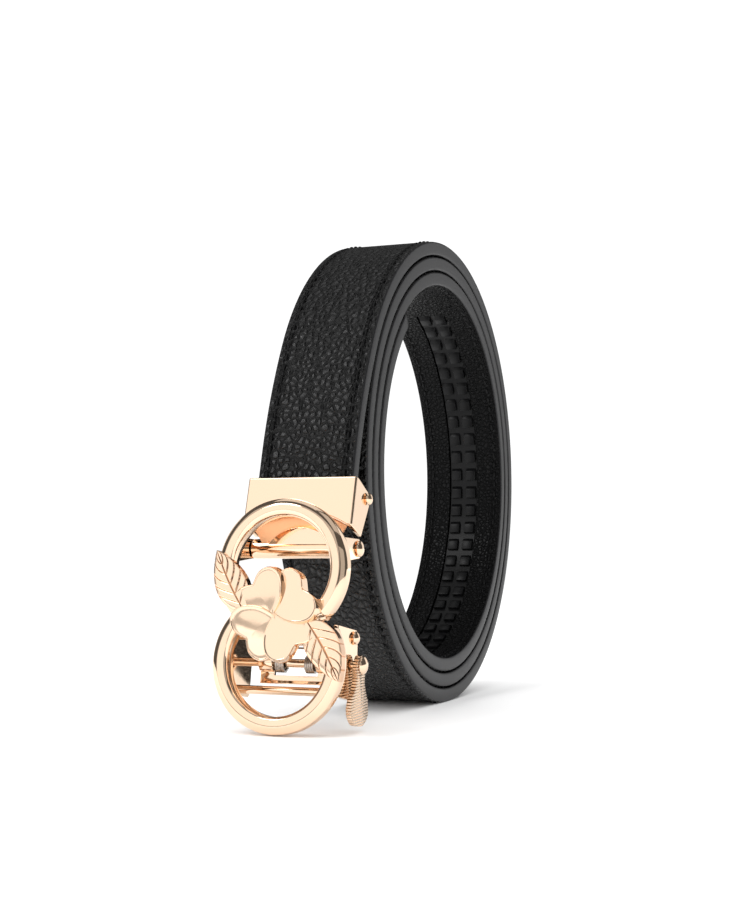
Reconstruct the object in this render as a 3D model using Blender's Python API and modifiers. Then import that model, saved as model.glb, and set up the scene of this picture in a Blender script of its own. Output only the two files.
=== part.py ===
"""A women's ratchet belt: a leather strap wound into a standing coil, with a cast face of two
rings, a flower and two leaves. Metres, +Z up, X along the coil's axis, -Y towards the front."""

import math

import bmesh
import bpy
from mathutils import Matrix, Vector

# Strap, and how it is wound
STRAP_WIDTH = 0.024
STRAP_THICKNESS = 0.0036
STRAP_LENGTH = 1.1185
EDGE_BEVEL = 0.0007
TIP_CORNER = 0.008
TURN_GAP = 0.00045
STATION_STEP = math.radians(7.5)
FLARE = 0.0040
FLARE_ANGLE = math.radians(28)
TAIL_LENGTH = 0.0038

# Ratchet track in its channel on the lining side
CHANNEL_WIDTH = 0.0088
CHANNEL_DEPTH = 0.0015
TRACK_LENGTH = 0.245
TRACK_TO_TIP = 0.018
TRACK_THICKNESS = 0.0006
TOOTH_HEIGHT = 0.0010
TOOTH_PITCH = 0.0058
TOOTH_LENGTH = 0.0034
TOOTH_RAMP = 0.0012
TOOTH_SLOT = 0.0013

# Clearance between pieces, and the play round a pin
GAP = 0.0003
SINK = 0.0004

# Clamp that holds the strap's end
CLAMP_TILT = math.radians(16)
CLAMP_LENGTH = 0.0158
CLAMP_GRIP = 0.0072
CLAMP_WALL = 0.0012
STRAP_BEFORE_ROD = 0.0039
PLATE_FOOT = 0.0040
ARCH_RISE = 0.0035
LEAF_PLATE_RADIUS = 0.0103
LEAF_PLATE_DROP = 0.0055
LEAF_PLATE_SPAN = math.radians(62)
WEB_THICKNESS = 0.0006
WEB_COLUMNS = 14
PLATE_SETBACK = 0.0036
JAW_PIN_RADIUS = 0.0008
JAW_PIN_DROP = 0.0031
JAW_THICKNESS = 0.0011
JAW_SETBACK = 0.0008
JAW_TEETH = 3
JAW_TOOTH = 0.0005

# Hinge rod between the clamp and the face
ROD_RADIUS = 0.0010
ROD_HEAD_RADIUS = 0.0019
ROD_HEAD_HEIGHT = 0.0009
EYE_WALL = 0.0010

# Cast face: two rings, a flower, two leaves and a ridged wrap
FACE_TILT = math.radians(7)
RING_RADIUS = 0.0158
RING_BAND = 0.0040
RING_DEPTH = 0.0035
RING_BEVEL = 0.0011
RING_SPACING = 0.0209
RING_BELOW_ROD = 0.0057
RING_SETBACK = 0.0087
RING_SIDES = 56
FLOWER_RADIUS = 0.0104
FLOWER_DEPTH = 0.0022
FLOWER_TURN = math.radians(-52)
PETAL_TILT = math.radians(-4.5)
LEAF_LENGTH = 0.0146
LEAF_WIDTH = 0.0066
LEAF_DEPTH = 0.0016
LEAF_ROOT = (0.0074, -0.0012)
LEAF_TURN = math.radians(-59)
WRAP_RADIUS = 0.0016
WRAP_LENGTH = 0.0036
WRAP_RIDGES = 3

# Ears and side walls at the back of the rings
EAR_THICKNESS = 0.0012
EAR_DROP = 0.0042
WALL_THICKNESS = 0.0012
BAR_DROP = 0.0325
BAR_RADIUS = 0.0010
SHAFT_ABOVE_BAR = 0.0063
SHAFT_DROP = BAR_DROP - SHAFT_ABOVE_BAR
SHAFT_RADIUS = 0.0010
STOP_ABOVE_SHAFT = 0.0060
STOP_DROP = SHAFT_DROP - STOP_ABOVE_SHAFT
STOP_RADIUS = 0.0009

# Pawl, spring and side lever
PAWL_WIDTH = 0.0176
PAWL_ARM = 0.0034
PAWL_THICKNESS = 0.0011
PAWL_CLEARANCE = 0.0005
PAWL_REACH = BAR_DROP - BAR_RADIUS - SHAFT_DROP - PAWL_CLEARANCE
PAWL_TOOTH = 0.0009
SPRING_WIRE = 0.00035
SPRING_TURNS = 4
SPRING_COIL = 0.0021
LEVER_THICKNESS = 0.0013
LEVER_LENGTH = 0.0135
LEVER_WIDTH = 0.0104
LEVER_NECK = 0.0046
LEVER_STANDOFF = 0.0008
LEVER_HEAD_RADIUS = 0.0021
LEVER_HEAD_HEIGHT = 0.0010

# What follows from the sizes above
HALF_STRAP = STRAP_WIDTH / 2
PITCH = STRAP_THICKNESS + TURN_GAP
CLAMP_INNER = HALF_STRAP + GAP + 0.0001
CLAMP_HALF = CLAMP_INNER + CLAMP_WALL
EAR_INNER = CLAMP_INNER + GAP / 2
EAR_OUTER = EAR_INNER + EAR_THICKNESS
WALL_OUTER = CLAMP_HALF + GAP / 2
WALL_INNER = WALL_OUTER - WALL_THICKNESS
RING_BACK = -RING_SETBACK
RING_FRONT = RING_BACK - RING_DEPTH
UPPER_Z = -RING_BELOW_ROD
LOWER_Z = UPPER_Z - RING_SPACING
FLOWER_Z = (UPPER_Z + LOWER_Z) / 2
FACE_BOTTOM = (RING_RADIUS - LOWER_Z) * math.cos(FACE_TILT) + RING_BACK * math.sin(FACE_TILT)
ROD_Z = FACE_BOTTOM
STRAP_FACE = -STRAP_BEFORE_ROD
CLAMP_FRONT = STRAP_FACE - GAP - CLAMP_WALL
PLATE_FRONT = CLAMP_FRONT + PLATE_SETBACK
JAW_FACE = STRAP_FACE + STRAP_THICKNESS + GAP + JAW_TOOTH
JAW_HUB = JAW_PIN_RADIUS + GAP + JAW_THICKNESS * 0.6
JAW_PIN_Y = STRAP_FACE + STRAP_THICKNESS + GAP + JAW_HUB + JAW_SETBACK
JAW_PIN_Z = CLAMP_LENGTH - JAW_PIN_DROP
FLARE_SLOPE = math.atan(2 * FLARE / (0.064 * FLARE_ANGLE))


def clamp_to_world(y, z):
    """Y and Z of a point of the clamp, from its place behind and above the hinge rod."""
    back = y * math.cos(CLAMP_TILT) + z * math.sin(CLAMP_TILT)
    up = z * math.cos(CLAMP_TILT) - y * math.sin(CLAMP_TILT)
    return back, up + ROD_Z


MOUTH_Y, MOUTH_Z = clamp_to_world(STRAP_FACE, CLAMP_LENGTH)
TAIL_LEAN = (CLAMP_TILT + FLARE_SLOPE) / 2
COIL_Z = MOUTH_Z + TAIL_LENGTH * math.cos(TAIL_LEAN)
COIL_RADIUS = COIL_Z + 0.75 * PITCH
COIL_Y = MOUTH_Y + TAIL_LENGTH * math.sin(TAIL_LEAN) + FLARE + COIL_RADIUS


def turn_angle(length):
    """The angle at which this much strap has been wound on, measured on its middle line."""
    middle = COIL_RADIUS - STRAP_THICKNESS / 2
    shrink = PITCH / (2 * math.pi)
    return (middle - math.sqrt(middle**2 - 2 * shrink * length)) / shrink


TIP_ANGLE = turn_angle(STRAP_LENGTH - CLAMP_GRIP - TAIL_LENGTH)
INNER_RADIUS = COIL_RADIUS - PITCH * TIP_ANGLE / (2 * math.pi) - STRAP_THICKNESS
TRACK_END = TIP_ANGLE - TRACK_TO_TIP / INNER_RADIUS
TRACK_START = TRACK_END - TRACK_LENGTH / (INNER_RADIUS + PITCH / 2)


def coil_point(angle, depth=0.0):
    """Y and Z on the coil: angle 0 faces the front, 90 degrees is the top, depth is into the strap."""
    rest = max(0.0, 1 - angle / FLARE_ANGLE)
    radius = COIL_RADIUS - PITCH * angle / (2 * math.pi) + FLARE * rest**2 - depth
    return COIL_Y - radius * math.cos(angle), COIL_Z + radius * math.sin(angle)


def clear_scene():
    for old in list(bpy.data.objects):
        bpy.data.objects.remove(old, do_unlink=True)


def collection(name):
    made = bpy.data.collections.new(name)
    bpy.context.scene.collection.children.link(made)
    return made


clear_scene()
BELT = collection("ratchet_belt")
CUTTERS = collection("cutters")


def finish(name, colour, roughness, metallic):
    made = bpy.data.materials.new(name)
    made.use_nodes = True
    shader = made.node_tree.nodes["Principled BSDF"]
    shader.inputs["Base Color"].default_value = (*colour, 1)
    shader.inputs["Roughness"].default_value = roughness
    shader.inputs["Metallic"].default_value = metallic
    return made


LEATHER = finish("black_leather", (0.012, 0.012, 0.013), 0.5, 0)
NYLON = finish("black_nylon", (0.008, 0.008, 0.009), 0.4, 0)
ROSE_GOLD = finish("rose_gold", (0.88, 0.62, 0.46), 0.08, 1)
SPRING_STEEL = finish("spring_steel", (0.55, 0.52, 0.48), 0.25, 1)


def empty(name, parent=None, place=(0, 0, 0), tilt=0.0):
    made = bpy.data.objects.new(name, None)
    BELT.objects.link(made)
    made.location = place
    made.rotation_euler = (-tilt, 0, 0)
    made.parent = parent
    return made


def piece(name, data, material, parent):
    made = bpy.data.objects.new(name, data)
    BELT.objects.link(made)
    made.parent = parent
    data.materials.append(material)
    return made


def helper(made):
    """Turns a piece into a cutter or a part of a union, which the model itself leaves out."""
    for home in list(made.users_collection):
        home.objects.unlink(made)
    CUTTERS.objects.link(made)
    made.hide_render = True
    made.display_type = "WIRE"
    return made


def combine(target, other, operation):
    join = target.modifiers.new(f"{operation}_{other.name}", "BOOLEAN")
    join.operation = operation
    join.solver = "EXACT"
    join.object = helper(other)


def smooth(made, angle=40):
    made.data.shade_smooth()
    made.data.set_sharp_from_angle(angle=math.radians(angle))
    return made


def mesh_of(source):
    """The mesh of a curve with its caps welded on, in the same place."""
    bpy.context.view_layer.update()
    graph = bpy.context.evaluated_depsgraph_get()
    data = bpy.data.meshes.new_from_object(source.evaluated_get(graph))
    shape = bmesh.new()
    shape.from_mesh(data)
    bmesh.ops.remove_doubles(shape, verts=shape.verts, dist=1e-6)
    bmesh.ops.recalc_face_normals(shape, faces=shape.faces)
    shape.to_mesh(data)
    shape.free()
    made = bpy.data.objects.new(source.name, data)
    BELT.objects.link(made)
    made.parent = source.parent
    made.matrix_local = source.matrix_local
    name = source.name
    bpy.data.objects.remove(source, do_unlink=True)
    made.name = name
    return made


def box(name, low, high, material, parent):
    size = [b - a for a, b in zip(low, high)]
    middle = [(a + b) / 2 for a, b in zip(low, high)]
    shape = bmesh.new()
    bmesh.ops.create_cube(shape, size=1, matrix=Matrix.Translation(middle) @ Matrix.Diagonal((*size, 1)))
    data = bpy.data.meshes.new(name)
    shape.to_mesh(data)
    shape.free()
    return piece(name, data, material, parent)


def along_x(place):
    """Stands a shape made along Z on its side, so that it runs along X from this place."""
    return Matrix.Translation(place) @ Matrix.Rotation(math.radians(90), 4, "Y")


def rod(name, low_x, high_x, y, z, radius, material, parent, sides=20):
    shape = bmesh.new()
    place = along_x(((low_x + high_x) / 2, y, z))
    bmesh.ops.create_cone(
        shape, cap_ends=True, segments=sides, radius1=radius, radius2=radius, depth=high_x - low_x, matrix=place
    )
    data = bpy.data.meshes.new(name)
    shape.to_mesh(data)
    shape.free()
    return smooth(piece(name, data, material, parent))


def turned(name, profile, material, parent, matrix, sides, closed=False):
    """A profile of radius and height pairs, listed top to bottom on its outer side, turned about Z."""
    ring = list(range(len(profile)))
    edges = list(zip(ring, ring[1:]))
    if closed:
        edges.append((ring[-1], 0))
    data = bpy.data.meshes.new(name)
    data.from_pydata([(radius, 0, height) for radius, height in profile], edges, [])
    made = piece(name, data, material, parent)
    made.matrix_local = matrix
    turn = made.modifiers.new("turn", "SCREW")
    turn.steps = sides
    turn.render_steps = sides
    turn.use_merge_vertices = True
    turn.merge_threshold = 1e-6
    turn.use_smooth_shade = True
    return made


def outline(name, points, low, high, material, parent, matrix, pointed=(), resolution=3):
    """A flat closed outline through a few points on smooth curves, as thick as from low to high."""
    data = bpy.data.curves.new(name, "CURVE")
    data.dimensions = "2D"
    data.fill_mode = "BOTH"
    data.resolution_u = resolution
    data.extrude = (high - low) / 2
    line = data.splines.new("BEZIER")
    line.bezier_points.add(len(points) - 1)
    line.use_cyclic_u = True
    for index, (point, place) in enumerate(zip(line.bezier_points, points)):
        kind = "VECTOR" if index in pointed else "AUTO"
        point.co = (*place, 0)
        point.handle_left_type = kind
        point.handle_right_type = kind
    made = piece(name, data, material, parent)
    made.matrix_local = matrix @ Matrix.Translation((0, 0, (low + high) / 2))
    return mesh_of(made)


FACING_FRONT = Matrix.Rotation(math.radians(90), 4, "X")
FACING_SIDE = Matrix.Rotation(math.radians(90), 4, "Z") @ Matrix.Rotation(math.radians(90), 4, "X")


def ribbon(name, line, widths, thickness, material, parent):
    """A band that follows a line of Y and Z points: a grid laid along it, thickened towards the coil's centre."""
    shape = bmesh.new()
    bmesh.ops.create_grid(shape, x_segments=1, y_segments=len(line) - 1, size=1)
    shape.verts.ensure_lookup_table()
    for index, vert in enumerate(shape.verts):
        station, side = divmod(index, 2)
        half = widths[station] / 2
        vert.co = (half if side else -half, *line[station])
    data = bpy.data.meshes.new(name)
    shape.to_mesh(data)
    shape.free()
    made = piece(name, data, material, parent)
    wall = made.modifiers.new("wall", "SOLIDIFY")
    wall.thickness = thickness
    wall.offset = -1
    wall.use_even_offset = True
    return made


def stations(first, last):
    count = max(2, math.ceil((last - first) / STATION_STEP))
    return [first + (last - first) * step / count for step in range(count + 1)]


def strap_line():
    """The strap's outer face from its end in the clamp, up the tail and round the coil to the tip."""
    line = [clamp_to_world(STRAP_FACE, CLAMP_LENGTH - CLAMP_GRIP * (1 - step / 3)) for step in range(3)]
    y, z = MOUTH_Y, MOUTH_Z
    line.append((y, z))
    line.append(((y + coil_point(0)[0]) / 2 - TAIL_LENGTH * 0.02, (z + COIL_Z) / 2))
    angles = stations(0.0, TIP_ANGLE)
    line += [coil_point(angle) for angle in angles]
    return line


def tip_widths(line):
    """The strap's width at each point of its line: full, and then rounded off at the two corners of the tip."""
    left = 0.0
    widths = [STRAP_WIDTH - 2 * TIP_CORNER]
    for near, far in zip(line[::-1], line[-2::-1]):
        left += math.dist(near, far)
        short = max(0.0, TIP_CORNER - left)
        widths.append(STRAP_WIDTH - 2 * (TIP_CORNER - math.sqrt(TIP_CORNER**2 - short**2)))
    return widths[::-1]


def with_round_end(line):
    """The line with more points in its last stretch, so that the tip's round corners come out round."""
    lengths = [TIP_CORNER * share for share in (0, 0.16, 0.38, 0.66)]
    far = TIP_ANGLE - TIP_CORNER / INNER_RADIUS
    kept = [point for point in line if point in line[:5]]
    kept += [coil_point(angle) for angle in stations(0.0, far)]
    kept += [coil_point(TIP_ANGLE - length / INNER_RADIUS) for length in lengths[::-1]]
    return kept


def channel_cutter():
    depth = STRAP_THICKNESS - CHANNEL_DEPTH
    margin = GAP / INNER_RADIUS
    angles = stations(TRACK_START - margin, TRACK_END + margin)
    line = [coil_point(angle, depth) for angle in angles]
    widths = [CHANNEL_WIDTH] * len(line)
    return ribbon("channel_cutter", line, widths, CHANNEL_DEPTH * 2, NYLON, ORIGIN)


def make_strap():
    line = with_round_end(strap_line())
    strap = ribbon("strap", line, tip_widths(line), STRAP_THICKNESS, LEATHER, ORIGIN)
    edge = strap.modifiers.new("edge", "BEVEL")
    edge.width = EDGE_BEVEL
    edge.segments = 1
    edge.limit_method = "ANGLE"
    edge.angle_limit = math.radians(50)
    combine(strap, channel_cutter(), "DIFFERENCE")
    return smooth(strap, 30)


def tooth(shape, angle, low_x, high_x):
    """One ratchet tooth, steep on the side of the strap's tip and sloped on the other."""
    root = STRAP_THICKNESS - CHANNEL_DEPTH + GAP + TRACK_THICKNESS - SINK / 2
    made = bmesh.ops.create_cube(shape, size=1)["verts"]
    y, z = coil_point(angle, root)
    inward = Vector((0, math.cos(angle), -math.sin(angle)))
    onward = Vector((0, math.sin(angle), math.cos(angle)))
    for vert in made:
        along = TOOTH_LENGTH * vert.co.y
        up = (TOOTH_HEIGHT + SINK / 2) * (vert.co.z + 0.5)
        if vert.co.z > 0 and vert.co.y < 0:
            along += TOOTH_RAMP
        x = high_x if vert.co.x > 0 else low_x
        vert.co = Vector((x, y, z)) + onward * along + inward * up


def make_track():
    back = STRAP_THICKNESS - CHANNEL_DEPTH + GAP
    line = [coil_point(angle, back) for angle in stations(TRACK_START, TRACK_END)]
    width = CHANNEL_WIDTH - 2 * GAP
    track = ribbon("ratchet_track", line, [width] * len(line), TRACK_THICKNESS, NYLON, ORIGIN)
    shape = bmesh.new()
    step = TOOTH_PITCH / (INNER_RADIUS + PITCH / 2)
    rows = int((TRACK_END - TRACK_START) / step)
    for row in range(rows):
        angle = TRACK_START + step * (row + 0.5)
        tooth(shape, angle, -width / 2 + SINK, -TOOTH_SLOT / 2)
        tooth(shape, angle, TOOTH_SLOT / 2, width / 2 - SINK)
    data = bpy.data.meshes.new("track_teeth")
    shape.to_mesh(data)
    shape.free()
    combine(track, piece("track_teeth", data, NYLON, ORIGIN), "UNION")
    return track


def clamp_side(name, inner, outer):
    """One side wall of the clamp, seen from the side: from the mouth back to the jaw's pin and down to the rod."""
    eye = ROD_RADIUS + GAP + EYE_WALL
    back = JAW_PIN_Y + JAW_PIN_RADIUS + GAP + EYE_WALL
    points = [
        (CLAMP_FRONT + SINK / 4, CLAMP_LENGTH),
        (CLAMP_FRONT + CLAMP_WALL * 1.6, CLAMP_LENGTH),
        (back, JAW_PIN_Z + 0.0006),
        (back - 0.0008, JAW_PIN_Z - 0.0016),
        (back * 0.3, eye + 3 * GAP),
        (CLAMP_FRONT + SINK / 4, PLATE_FOOT),
    ]
    return outline(name, points, inner, outer, ROSE_GOLD, CLAMP, FACING_SIDE, pointed=(0, 1, 4, 5), resolution=4)


def arch_height(x):
    """The height of the front plate's arched lower edge, this far from its middle."""
    return PLATE_FOOT + ARCH_RISE * (1 - (x / CLAMP_INNER) ** 2)


def leaf_place(turn):
    """X and Z on the lower plate's arched top, at this angle from its middle."""
    return LEAF_PLATE_RADIUS * math.sin(turn), LEAF_PLATE_RADIUS * math.cos(turn) - LEAF_PLATE_DROP


def make_web():
    """The curved wall that leads from the front plate's arch back to the lower plate's rounder arch."""
    rows = 3
    shape = bmesh.new()
    bmesh.ops.create_grid(shape, x_segments=WEB_COLUMNS, y_segments=rows, size=1)
    front = CLAMP_FRONT + CLAMP_WALL - SINK / 2
    back = PLATE_FRONT + SINK
    for vert in shape.verts:
        across = vert.co.x
        share = (vert.co.y + 1) / 2
        x = (CLAMP_INNER + SINK / 2) * across
        z = arch_height(x) + SINK
        low_x, low_z = leaf_place(LEAF_PLATE_SPAN * across)
        vert.co = (x + (low_x - x) * share, front + (back - front) * share, z + (low_z - z) * share)
    data = bpy.data.meshes.new("clamp_web")
    shape.to_mesh(data)
    shape.free()
    web = piece("clamp_web", data, ROSE_GOLD, CLAMP)
    wall = web.modifiers.new("wall", "SOLIDIFY")
    wall.thickness = WEB_THICKNESS
    wall.offset = -1
    return smooth(web)


def make_clamp():
    """The folded clamp: a front plate with an arched foot, a web back to the hinge's plate, and two side walls."""
    clamp = box(
        "clamp_shell",
        (-CLAMP_HALF, CLAMP_FRONT, PLATE_FOOT),
        (CLAMP_HALF, CLAMP_FRONT + CLAMP_WALL, CLAMP_LENGTH),
        ROSE_GOLD,
        CLAMP,
    )
    lip = clamp.modifiers.new("lip", "BEVEL")
    lip.width = CLAMP_WALL * 0.3
    lip.segments = 1
    steps = WEB_COLUMNS
    arch = [(-CLAMP_INNER, PLATE_FOOT - CLAMP_WALL)]
    for step in range(steps + 1):
        x = CLAMP_INNER * (2 * step / steps - 1)
        arch.append((x, arch_height(x)))
    arch.append((CLAMP_INNER, PLATE_FOOT - CLAMP_WALL))
    low = -(CLAMP_FRONT + 2 * CLAMP_WALL)
    high = -(CLAMP_FRONT - CLAMP_WALL)
    everywhere = range(len(arch))
    cutter = outline("arch_cutter", arch, low, high, ROSE_GOLD, CLAMP, FACING_FRONT, everywhere, 1)
    combine(clamp, cutter, "DIFFERENCE")
    for side in (-1, 1):
        low, high = sorted((side * CLAMP_INNER, side * CLAMP_HALF))
        combine(clamp, clamp_side(f"clamp_side_{'right' if side > 0 else 'left'}", low, high), "UNION")
    combine(clamp, make_web(), "UNION")
    foot = [leaf_place(LEAF_PLATE_SPAN * (step / 4 - 1)) for step in range(9)]
    leaf = outline("hinge_plate", foot, -(PLATE_FRONT + CLAMP_WALL), -PLATE_FRONT, ROSE_GOLD, CLAMP, FACING_FRONT, (0, 8))
    combine(clamp, leaf, "UNION")
    reach = EAR_INNER - GAP
    eye = ROD_RADIUS + GAP + EYE_WALL
    combine(clamp, rod("hinge_barrel", -reach, reach, 0, 0, eye, ROSE_GOLD, CLAMP), "UNION")
    far = CLAMP_HALF + CLAMP_WALL
    combine(clamp, rod("rod_bore", -far, far, 0, 0, ROD_RADIUS + GAP, ROSE_GOLD, CLAMP), "DIFFERENCE")
    bore = rod("jaw_pin_bore", -far, far, JAW_PIN_Y, JAW_PIN_Z, JAW_PIN_RADIUS + GAP, ROSE_GOLD, CLAMP)
    combine(clamp, bore, "DIFFERENCE")
    return clamp


def make_jaw():
    """The toothed plate behind the strap, on its pin near the clamp's mouth. Its origin is on the pin."""
    half = CLAMP_INNER - GAP
    jaw = rod("clamp_jaw", -half, half, 0, 0, JAW_HUB, ROSE_GOLD, JAW)
    low = CLAMP_LENGTH - CLAMP_GRIP - JAW_PIN_Z
    front = JAW_FACE - JAW_PIN_Y
    plate = box("jaw_plate", (-half, front, low), (half, front + JAW_THICKNESS, -SINK), ROSE_GOLD, JAW)
    combine(jaw, plate, "UNION")
    pitch = (-JAW_HUB - low) / JAW_TEETH
    shape = bmesh.new()
    for row in range(JAW_TEETH):
        middle = low + pitch * (row + 0.5)
        made = bmesh.ops.create_cone(
            shape,
            cap_ends=True,
            segments=3,
            radius1=JAW_TOOTH * 1.3,
            radius2=JAW_TOOTH * 1.3,
            depth=2 * half - 4 * SINK,
            matrix=Matrix.Translation((0, front + JAW_TOOTH * 0.3, middle)) @ along_x((0, 0, 0)),
        )["verts"]
        ridge = min(vert.co.y for vert in made)
        bmesh.ops.translate(shape, verts=made, vec=(0, front - JAW_TOOTH - ridge, 0))
    data = bpy.data.meshes.new("jaw_teeth")
    shape.to_mesh(data)
    shape.free()
    combine(jaw, piece("jaw_teeth", data, ROSE_GOLD, JAW), "UNION")
    bore = rod("jaw_bore", -2 * half, 2 * half, 0, 0, JAW_PIN_RADIUS + GAP, ROSE_GOLD, JAW)
    combine(jaw, bore, "DIFFERENCE")
    return jaw


def headed_pin(name, radius, low_x, high_x, head_radius, head_height, y, z, parent, material=ROSE_GOLD):
    """A pin along X with a domed head on its right end, turned in one piece."""
    rise = [math.radians(angle) for angle in (90, 60, 30, 0)]
    dome = [(head_radius * math.cos(a), high_x + head_height * math.sin(a)) for a in rise]
    profile = [(0.0, dome[0][1])] + dome[1:] + [(radius, high_x), (radius, low_x), (0.0, low_x)]
    return turned(name, profile, material, parent, along_x((0, y, z)), 20)


def ring_profile():
    """The band's section as radius and height, front face up, from its inner front edge round to its inner back."""
    inner = RING_RADIUS - RING_BAND
    return [
        (inner + RING_BEVEL * 0.4, RING_DEPTH),
        (RING_RADIUS - RING_BEVEL, RING_DEPTH),
        (RING_RADIUS, RING_DEPTH - RING_BEVEL),
        (RING_RADIUS, 0.0),
        (inner, 0.0),
        (inner, RING_DEPTH - RING_BEVEL * 0.4),
    ]


def petal_outline():
    """A heart with its point at the flower's centre, as shares of the flower's radius."""
    right = [(0.34, 0.14), (0.56, 0.36), (0.68, 0.64), (0.58, 0.89), (0.31, 0.99)]
    shares = [(0.0, -0.04)] + right + [(0.0, 0.86)] + [(-x, y) for x, y in right[::-1]]
    return [(x * FLOWER_RADIUS, y * FLOWER_RADIUS) for x, y in shares]


def leaf_outline():
    """A leaf along +Y from its root, as shares of its length and width."""
    shares = [(0.0, -0.04), (0.44, 0.30), (0.46, 0.58), (0.22, 0.86), (0.0, 1.0), (-0.28, 0.86), (-0.50, 0.55), (-0.42, 0.26)]
    return [(x * LEAF_WIDTH, y * LEAF_LENGTH) for x, y in shares]


def face_place(x, z, front, turn):
    """Where a shape drawn facing up lies on the cast face: at x and z, its top side at front, turned in its plane."""
    return Matrix.Translation((x, front, z)) @ FACING_FRONT @ Matrix.Rotation(turn, 4, "Z")


def side_wall(name, inner, outer):
    """One of the two walls behind the lower ring, which carry the stop pin, the shaft and the bar."""
    back = SHAFT_RADIUS + GAP + EYE_WALL
    root = RING_BACK - SINK
    points = [
        (root, -STOP_DROP + back),
        (back * 0.9, -STOP_DROP + back * 0.8),
        (back * 1.1, -SHAFT_DROP),
        (back, -BAR_DROP - back * 0.8),
        (root, -BAR_DROP - back * 0.4),
    ]
    return outline(name, points, inner, outer, ROSE_GOLD, BUCKLE, FACING_SIDE, pointed=(0, 4), resolution=4)


def rod_ear(name, inner, outer):
    """One of the two ears behind the upper ring, which hold the hinge rod."""
    eye = ROD_RADIUS + GAP + EYE_WALL
    root = RING_BACK - SINK
    points = [(root, eye * 0.7), (0.0, eye), (eye, 0.0), (0.0, -eye), (root, -EAR_DROP)]
    return outline(name, points, inner, outer, ROSE_GOLD, BUCKLE, FACING_SIDE, pointed=(0, 4), resolution=4)


def make_face():
    """The casting: rings, petals, leaves and wrap at the front, ears and side walls at the back, all one solid."""
    turn_front = Matrix.Rotation(math.radians(90), 4, "X")
    upper = Matrix.Translation((0, RING_BACK, UPPER_Z)) @ turn_front
    lower = Matrix.Translation((0, RING_BACK, LOWER_Z)) @ turn_front
    face = turned("face_casting", ring_profile(), ROSE_GOLD, BUCKLE, upper, RING_SIDES, closed=True)
    combine(face, turned("lower_ring", ring_profile(), ROSE_GOLD, BUCKLE, lower, RING_SIDES, closed=True), "UNION")
    front = RING_FRONT - FLOWER_DEPTH / 2
    for number in range(4):
        turn = FLOWER_TURN + math.radians(90 * number)
        place = face_place(0, FLOWER_Z, front, turn) @ Matrix.Rotation(PETAL_TILT, 4, "Y")
        name = f"petal_{number + 1}"
        low = -FLOWER_DEPTH * 0.95
        combine(face, outline(name, petal_outline(), low, FLOWER_DEPTH / 2, ROSE_GOLD, BUCKLE, place), "UNION")
    button = rod("flower_back", 0, FLOWER_DEPTH + RING_DEPTH / 2, 0, 0, FLOWER_RADIUS * 0.72, ROSE_GOLD, BUCKLE, 24)
    button.matrix_local = Matrix.Translation((0, RING_BACK - RING_DEPTH / 3, FLOWER_Z)) @ Matrix.Rotation(
        math.radians(-90), 4, "Z"
    )
    combine(face, button, "UNION")
    for name, side in (("leaf_lower", 1), ("leaf_upper", -1)):
        x, z = LEAF_ROOT
        turn = LEAF_TURN - math.radians(90) if side > 0 else LEAF_TURN + math.radians(90)
        place = face_place(side * x, FLOWER_Z + side * z, RING_FRONT, turn)
        low = -SINK
        combine(face, outline(name, leaf_outline(), low, LEAF_DEPTH, ROSE_GOLD, BUCKLE, place, pointed=(0, 4)), "UNION")
    reach = math.sqrt((RING_RADIUS - RING_BAND / 2) ** 2 - (RING_SPACING / 2) ** 2)
    step = WRAP_LENGTH / (2 * WRAP_RIDGES)
    heights = [WRAP_LENGTH / 2 - step * number for number in range(2 * WRAP_RIDGES + 1)]
    radii = [WRAP_RADIUS * (0.82 if number % 2 == 0 else 1.0) for number in range(len(heights))]
    profile = [(0.0, heights[0])] + list(zip(radii, heights)) + [(0.0, heights[-1])]
    lean = Matrix.Rotation(math.radians(-52), 4, "Y")
    place = Matrix.Translation((reach, RING_FRONT + WRAP_RADIUS * 0.3, FLOWER_Z)) @ lean
    combine(face, turned("wrap", profile, ROSE_GOLD, BUCKLE, place, 16), "UNION")
    for side, word in ((-1, "left"), (1, "right")):
        low, high = sorted((side * EAR_INNER, side * EAR_OUTER))
        combine(face, rod_ear(f"ear_{word}", low, high), "UNION")
        low, high = sorted((side * WALL_INNER, side * WALL_OUTER))
        combine(face, side_wall(f"wall_{word}", low, high), "UNION")
    far = RING_RADIUS + EAR_THICKNESS
    for name, drop, radius in (
        ("rod_hole", 0.0, ROD_RADIUS),
        ("shaft_hole", SHAFT_DROP, SHAFT_RADIUS),
        ("bar_hole", BAR_DROP, BAR_RADIUS),
        ("stop_hole", STOP_DROP, STOP_RADIUS),
    ):
        combine(face, rod(name, -far, far, 0, -drop, radius + GAP, ROSE_GOLD, BUCKLE), "DIFFERENCE")
    return face


def make_pins():
    rod_end = EAR_OUTER + GAP
    headed_pin("hinge_rod", ROD_RADIUS, -EAR_OUTER, rod_end, ROD_HEAD_RADIUS, ROD_HEAD_HEIGHT, 0, 0, BUCKLE)
    rod("bottom_bar", -WALL_OUTER, WALL_OUTER, 0, -BAR_DROP, BAR_RADIUS, ROSE_GOLD, BUCKLE)
    end = WALL_OUTER + GAP
    headed_pin("stop_pin", STOP_RADIUS, -WALL_OUTER, end, STOP_RADIUS * 1.7, STOP_RADIUS, 0, -STOP_DROP, BUCKLE)
    end = CLAMP_HALF + GAP
    radius = JAW_PIN_RADIUS
    headed_pin("jaw_pin", radius, -CLAMP_HALF, end, radius * 1.8, radius * 1.1, JAW_PIN_Y, JAW_PIN_Z, CLAMP)


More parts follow.
